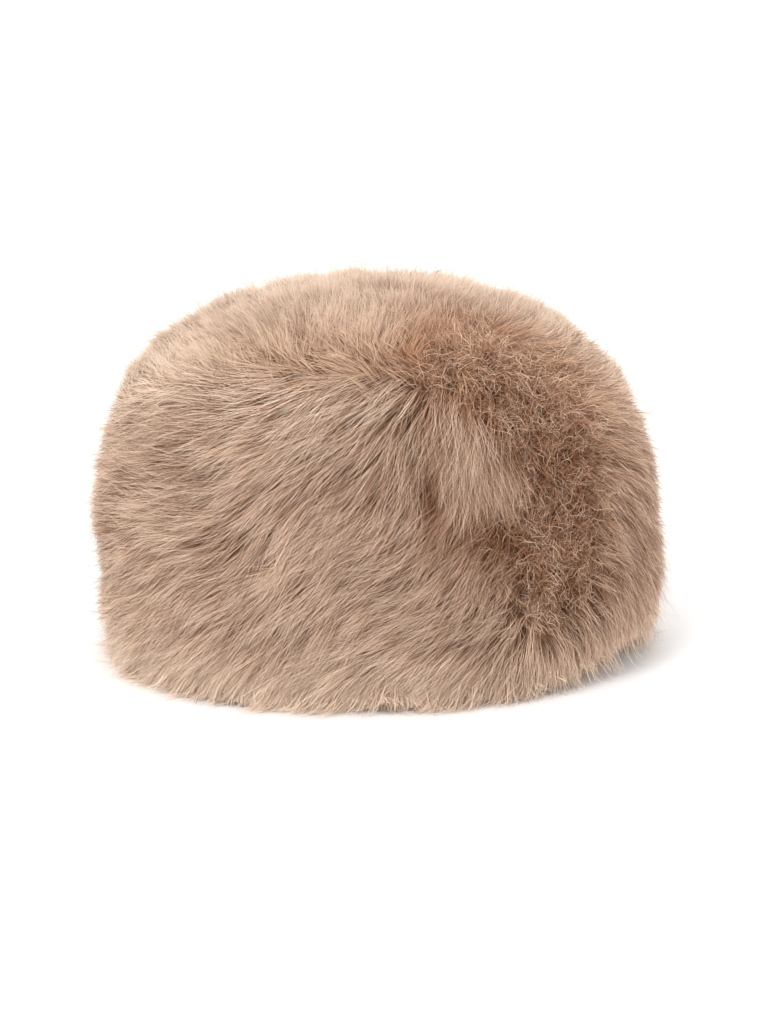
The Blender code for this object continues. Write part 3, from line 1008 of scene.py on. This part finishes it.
def backing_material(name, rows_along):
    """The pelt's knitted backing, seen from inside: soft beige rows of fine loops."""
    material, tree, shader = new_material(name)
    place = node(tree, "ShaderNodeTexCoord", {}).outputs["Object"]
    waves = {"Vector": place, "Scale": KNIT_SCALE, "Distortion": 1.2, "Detail": 2.0, "Detail Scale": 6.0}
    rows = node(tree, "ShaderNodeTexWave", waves, bands_direction=rows_along).outputs["Fac"]
    loops = place_noise(tree, WOOL_SCALE, detail=3.0, roughness=0.65)
    knit = node(tree, "ShaderNodeMath", {0: loops, 1: 0.9, 2: rows}, operation="MULTIPLY_ADD").outputs[0]
    shades = ramp(tree, place_noise(tree, KNIT_PATCH_SCALE), KNIT_SHADES)
    fill(tree, shader, {
        "Base Color": mixed(tree, "MULTIPLY", 1.0, ramp(tree, knit, KNIT_STOPS), shades),
        "Roughness": 0.88,
        "Sheen Weight": 0.35,
        "Normal": bumpy(tree, knit, strength=0.7, distance=0.0004),
    })
    return material


# The pelt's backing, a wall of this thickness with the head opening inside it
OPENING_HALF_WIDTH = 0.088
INSIDE_TOP_HALF_WIDTH = 0.0775
INSIDE_TOP = 0.1135
CROWN_DOME = 0.0125
WALL = 0.0028
WALL_FROM = 0.0020
WALL_FOOT = 0.0006
CROWN_GAP = 0.0004
CROWN_EDGE_THINNER = 0.35

# The underfur, a thick skin this far under the plain outline, in two parts that meet at the seam
UNDERFUR_DEPTH = 0.0085
CROWN_UNDERFUR_DEPTH = 0.0045
UNDERFUR_FOOT = 0.0040
UNDERFUR_GAP = 0.0006
CROWN_UNDERFUR_GAP = 0.0012
SEAM_HALF_WIDTH = 0.0880
SEAM_TOP = 0.1325
SEAM_LAP = 0.006
SEAM_GAP = 0.0003
WOOL = Ripple(0.007, 31)
WOOL_PATCHES = Ripple(0.019, 32)
WOOL_LUMP = 0.0006
WOOL_PATCH_LUMP = 0.0007
OPEN_LUMP = 0.0042
UPPER_SKIN_FROM = (0.1340, 0.1400)


def ring_azimuths(around):
    return np.linspace(-math.pi, math.pi, around, endpoint=False)[:, None]


def rings(azimuth, rows):
    """A ring of points round the hat for each of these half widths and heights."""
    rows = np.array(rows)
    half_width = np.broadcast_to(rows[:, 0], (len(azimuth), len(rows)))
    return plan_points(azimuth, half_width, rows[:, 1])


def ring_numbers(points):
    """The number of each point of these rings, and of the next point round the hat."""
    around, rows = points.shape[:2]
    index = np.arange(around * rows).reshape(around, rows)
    return index, np.roll(index, -1, axis=0)


def smooth_mesh(name, spots, faces):
    mesh = bpy.data.meshes.new(name)
    mesh.from_pydata(spots, [], faces)
    mesh.polygons.foreach_set("use_smooth", np.ones(len(mesh.polygons), dtype=bool))
    mesh.update()
    return mesh


def wall_mesh(name, points):
    """A closed wall round the hat from rings that go once round its section."""
    index, beyond = ring_numbers(points)
    faces = np.stack([index, beyond, np.roll(beyond, -1, axis=1), np.roll(index, -1, axis=1)], axis=-1)
    return smooth_mesh(name, points.reshape(-1, 3).tolist(), faces.reshape(-1, 4).tolist())


def disc_mesh(name, top, underside, around):
    """A closed round solid from two profiles, each from the middle outwards, in the hat's plan ovals."""
    points = rings(ring_azimuths(around), [*top[1:], *underside[:0:-1]])
    spots = points.reshape(-1, 3).tolist() + [(0, 0, top[0][1]), (0, 0, underside[0][1])]
    index, beyond = ring_numbers(points)
    faces = np.stack([index[:, :-1], index[:, 1:], beyond[:, 1:], beyond[:, :-1]], axis=-1)
    faces = faces.reshape(-1, 4).tolist()
    faces += [(len(spots) - 2, a, b) for a, b in zip(index[:, 0].tolist(), beyond[:, 0].tolist())]
    faces += [(b, a, len(spots) - 1) for a, b in zip(index[:, -1].tolist(), beyond[:, -1].tolist())]
    return smooth_mesh(name, spots, faces)


def inside_half_width(height):
    return OPENING_HALF_WIDTH + (INSIDE_TOP_HALF_WIDTH - OPENING_HALF_WIDTH) * (height / INSIDE_TOP) ** 2


def domed(edge, height, count):
    """A shallow dome's profile from the middle outwards, with its edge at this height."""
    return [(edge * share, height + CROWN_DOME * (1 - share**2)) for share in np.linspace(0, 1, count)]


def under_surface(depth, lowest, highest, count):
    """Half widths and heights of a skin this far under the plain outline, between two of its heights."""
    runs = np.linspace(SURFACE.run_at_height(lowest), SURFACE.run_at_height(highest), count)
    half_width = np.interp(runs, SURFACE.runs, SURFACE.half_width)
    height = np.interp(runs, SURFACE.runs, SURFACE.height)
    along = unit(np.stack([np.gradient(half_width), np.gradient(height)], axis=-1))
    return list(zip(half_width - along[:, 1] * depth, height + along[:, 0] * depth))


def woolly(points, azimuth):
    """Lumps of the underfur, on its outer skin only, with the hat's own swells and lifts."""
    height = points[..., 2]
    outer = eased(np.linalg.norm(points[..., :2], axis=-1), *LIFTED_FROM)
    share = np.maximum(outer, eased(height, *UPPER_SKIN_FROM))
    open_pile = np.maximum(near_parting(azimuth, height), tangled(azimuth, height))
    lump = WOOL_LUMP * WOOL(points) + WOOL_PATCH_LUMP * WOOL_PATCHES(points)
    lump = lump + swell(azimuth, height) + OPEN_LUMP * open_pile
    outwards = unit(points - np.array((0, 0, SURFACE.HUB_HEIGHT)) * share[..., None])
    points = points + outwards * (lump * share)[..., None]
    points[..., 2] += lift(azimuth, points[..., 2]) * outer
    return points


def band_backing():
    heights = np.linspace(WALL_FROM, INSIDE_TOP, 14)
    inner = [(inside_half_width(height), height) for height in heights]
    outer = [(half_width + WALL, height) for half_width, height in inner[::-1]]
    rim = [(inside_half_width(0) + WALL * share, WALL_FOOT) for share in (0.72, 0.28)]
    return wall_mesh("band_backing", rings(ring_azimuths(120), [*inner, *outer, *rim]))


def crown_backing():
    edge = INSIDE_TOP_HALF_WIDTH + WALL * 0.9
    underside = domed(edge, INSIDE_TOP + CROWN_GAP, 14)
    top = [
        (half_width, height + WALL * (1 - CROWN_EDGE_THINNER * (half_width / edge) ** 8))
        for half_width, height in underside
    ]
    return disc_mesh("crown_backing", top, underside, around=120)


def band_underfur():
    outer = under_surface(UNDERFUR_DEPTH, UNDERFUR_FOOT, SEAM_TOP + SEAM_LAP, 32)
    outer = [spot for spot in outer if spot[0] > SEAM_HALF_WIDTH + SEAM_GAP]
    inner = [
        (inside_half_width(height) + WALL + UNDERFUR_GAP, height)
        for height in np.linspace(INSIDE_TOP - 0.001, UNDERFUR_FOOT, 6)
    ]
    azimuth = ring_azimuths(200)
    return wall_mesh("band_underfur", woolly(rings(azimuth, [*inner, *outer][::-1]), azimuth))


def crown_underfur():
    skin = under_surface(CROWN_UNDERFUR_DEPTH, SEAM_TOP - SEAM_LAP, HAT_HEIGHT, 24)
    skin = [spot for spot in skin if spot[0] < SEAM_HALF_WIDTH][::-1]
    skin[0] = (0.0, skin[0][1])
    underside = domed(INSIDE_TOP_HALF_WIDTH + 0.001, INSIDE_TOP + WALL + CROWN_UNDERFUR_GAP, 10)
    return disc_mesh("crown_underfur", skin, underside, around=160)


# Where the pile is rooted, how many clumps of each kind are sown, and where they stand closer or apart
ROOTS_FROM = 0.004
CROWN_CLUMPS = 5000
BAND_CLUMPS = 13200
WOOL_CLUMPS = 1250
PARTING_CLUMPS = 560
CURLED_CLUMPS = 600
RIM_CLUMPS = 800
TUFT_CLUMPS = 260
EDGE_CLUMPS = 700
FOOT_DENSER = 0.45
FOOT_DENSER_UP = 0.012
FRONT_DENSER = 0.12
PARTING_DENSER = 0.6
TANGLE_SPARSER = 0.92
EDGE_HEIGHT = 0.007
EDGE_UP = 0.004
EDGE_BACK = 0.35
EDGE_FRONT_ROUND = 0.9


def pile_strands():
    """The strands of every kind of pile. All draws come from one seeded row of chances, in this order."""
    chance = np.random.default_rng(SEED)
    azimuths = np.linspace(-math.pi, math.pi, SURFACE.ROUND + 1)[:, None]
    heights = SURFACE.points[..., 2]
    rooted = (SURFACE.height > ROOTS_FROM + trimmed(azimuths)).astype(float)
    crown = (above_parting(azimuths, heights) > 0).astype(float)
    foot = 1 + FOOT_DENSER * bell(SURFACE.height - ROOTS_FROM, FOOT_DENSER_UP)
    front = 1 + FRONT_DENSER * np.cos(azimuths)
    tangle = tangled(azimuths, heights)
    closed = 1 - TANGLE_SPARSER * tangle
    parting = near_parting(azimuths, heights)
    edge = bell(SURFACE.height - EDGE_HEIGHT, EDGE_UP) * rooted
    edge = edge * (EDGE_BACK + bell(azimuths, EDGE_FRONT_ROUND))
    jobs = [
        ("crown_pile", CROWN_CLUMPS, crown * closed * (1 + PARTING_DENSER * parting), CROWN_PILE, None),
        ("band_pile", BAND_CLUMPS, (1 - crown) * rooted * foot * front * closed, BAND_PILE, None),
        ("wool_pile", WOOL_CLUMPS, tangle, WOOL_PILE, None),
        ("parting_pile", PARTING_CLUMPS, parting**2, PARTING_PILE, PARTING_COMBS),
        ("curled_pile", CURLED_CLUMPS, tangle, CURLED_PILE, None),
        ("tuft_pile", TUFT_CLUMPS, near_row(TUFT, azimuths, heights), TUFT_PILE, TUFT_COMBS),
        ("edge_pile", EDGE_CLUMPS, edge, EDGE_PILE, EDGE_COMBS),
    ]
    made = {}
    for name, clumps, weight, kind, combs in jobs:
        azimuth, run = sown(clumps, np.broadcast_to(weight, heights.shape), chance)
        height = SURFACE.at(azimuth, run)[0][:, 2]
        paths = clump_paths(azimuth, run, Combing(azimuth, height, combs), kind, chance)
        made[name] = grown(azimuth, paths, kind, chance)
    azimuth = chance.uniform(-math.pi, math.pi, RIM_CLUMPS)
    made["rim_pile"] = grown(azimuth, rim_paths(azimuth, RIM_PILE, chance), RIM_PILE, chance)
    return made


# The crown's and the band's pile are split into pieces at these azimuths, in degrees, from the back round
CROWN_PIECES = ("crown_pile_left", "crown_pile_right")
CROWN_EDGES = (-180, 0, 180.1)
BAND_PIECES = (
    "band_pile_back_left",
    "band_pile_left",
    "band_pile_front",
    "band_pile_right",
    "band_pile_back_right",
)
BAND_EDGES = (-180, -95, -20, 55, 120, 180.1)
SMALL_PIECES = ("parting_pile", "wool_pile", "curled_pile", "tuft_pile", "edge_pile", "rim_pile")


def split_by_azimuth(strands, edges):
    """The strands rooted between each two azimuths, in degrees."""
    degrees = np.degrees(strands.root_azimuth)
    for low, high in zip(edges, edges[1:]):
        chosen = (degrees >= low) & (degrees < high)
        yield Strands(*(values[chosen] for values in strands))


def shown(name, mesh, material, slot, *nodes):
    """Puts a mesh in the scene as a piece of the hat that stands for these CAD nodes."""
    piece = bpy.data.objects.new(name, mesh)
    bpy.context.scene.collection.objects.link(piece)
    mesh.materials.append(material)
    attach(piece, "root")
    if nodes:
        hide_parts(*nodes)
    return piece


def make_hat():
    shown("band_backing", band_backing(), backing_material("band_backing", "Z"), "band_fur")
    shown("crown_backing", crown_backing(), backing_material("crown_backing", "X"), "crown_fur")
    band_wool = underfur_material("band_underfur", BAND_WOOL_STOPS)
    crown_wool = underfur_material("crown_underfur", CROWN_WOOL_STOPS)
    shown("band_underfur", band_underfur(), band_wool, "band_fur", "side_band")
    shown("crown_underfur", crown_underfur(), crown_wool, "crown_fur", "crown")
    band = fur_material("band_pile", BAND_STOPS)
    crown = fur_material("crown_pile", CROWN_STOPS)
    strands = pile_strands()
    for name, part in zip(CROWN_PIECES, split_by_azimuth(strands["crown_pile"], CROWN_EDGES)):
        shown(name, strand_mesh(name, part), crown, "crown_fur")
    for name, part in zip(BAND_PIECES, split_by_azimuth(strands["band_pile"], BAND_EDGES)):
        shown(name, strand_mesh(name, part), band, "band_fur")
    for name in SMALL_PIECES:
        shown(name, strand_mesh(name, strands[name]), band, "band_fur")


# The camera looks a little down on the hat's front. Blender measures the lens on the picture's longer side.
CAMERA_DISTANCE = 1.4
CAMERA_ELEVATION = math.radians(12)
CAMERA_AIM = Vector((0.0030, 0.0, 0.0552))
CAMERA_ROLL = math.radians(-1.0)
LENS = 116.2
SENSOR = 36.0


def point_at(thing, target):
    thing.rotation_euler = (target - thing.location).to_track_quat("-Z", "Y").to_euler()


def add_camera():
    data = bpy.data.cameras.new("camera")
    data.lens = LENS
    data.sensor_width = SENSOR
    camera = bpy.data.objects.new("camera", data)
    bpy.context.scene.collection.objects.link(camera)
    back = Vector((0, -math.cos(CAMERA_ELEVATION), math.sin(CAMERA_ELEVATION)))
    camera.location = CAMERA_AIM + back * CAMERA_DISTANCE
    point_at(camera, CAMERA_AIM)
    camera.rotation_euler.rotate_axis("Z", CAMERA_ROLL)
    bpy.context.scene.camera = camera


def add_light(name, location, size, power):
    data = bpy.data.lights.new(name, "AREA")
    data.shape = "DISK"
    data.size = size
    data.energy = power
    light = bpy.data.objects.new(name, data)
    light.location = location
    bpy.context.scene.collection.objects.link(light)
    point_at(light, Vector((0, 0, HAT_HEIGHT / 2)))


def add_floor(reach=40.0):
    corners = [(-reach, -reach, 0), (reach, -reach, 0), (reach, reach, 0), (-reach, reach, 0)]
    mesh = bpy.data.meshes.new("floor")
    mesh.from_pydata(corners, [], [(0, 1, 2, 3)])
    material, tree, shader = new_material("pale_floor")
    shades = ramp(tree, place_noise(tree, FLOOR_PATCH_SCALE), FLOOR_SHADES)
    fill(tree, shader, {"Base Color": shades, "Roughness": 0.95, "Specular IOR Level": 0.1})
    mesh.materials.append(material)
    floor = bpy.data.objects.new("floor", mesh)
    bpy.context.scene.collection.objects.link(floor)


def add_world():
    world = bpy.data.worlds.new("studio")
    world.use_nodes = True
    background = world.node_tree.nodes["Background"]
    background.inputs["Color"].default_value = (1.0, 1.0, 1.0, 1.0)
    background.inputs["Strength"].default_value = 1.05
    bpy.context.scene.world = world


make_hat()
add_camera()
add_world()
add_light("key", location=(-0.6, -1.0, 1.8), size=0.9, power=18)
add_light("fill", location=(0.9, -1.9, 0.3), size=1.4, power=6)
add_light("rear", location=(0.3, 1.6, 1.6), size=1.2, power=13)
add_floor()
bpy.context.scene.view_settings.view_transform = "Standard"
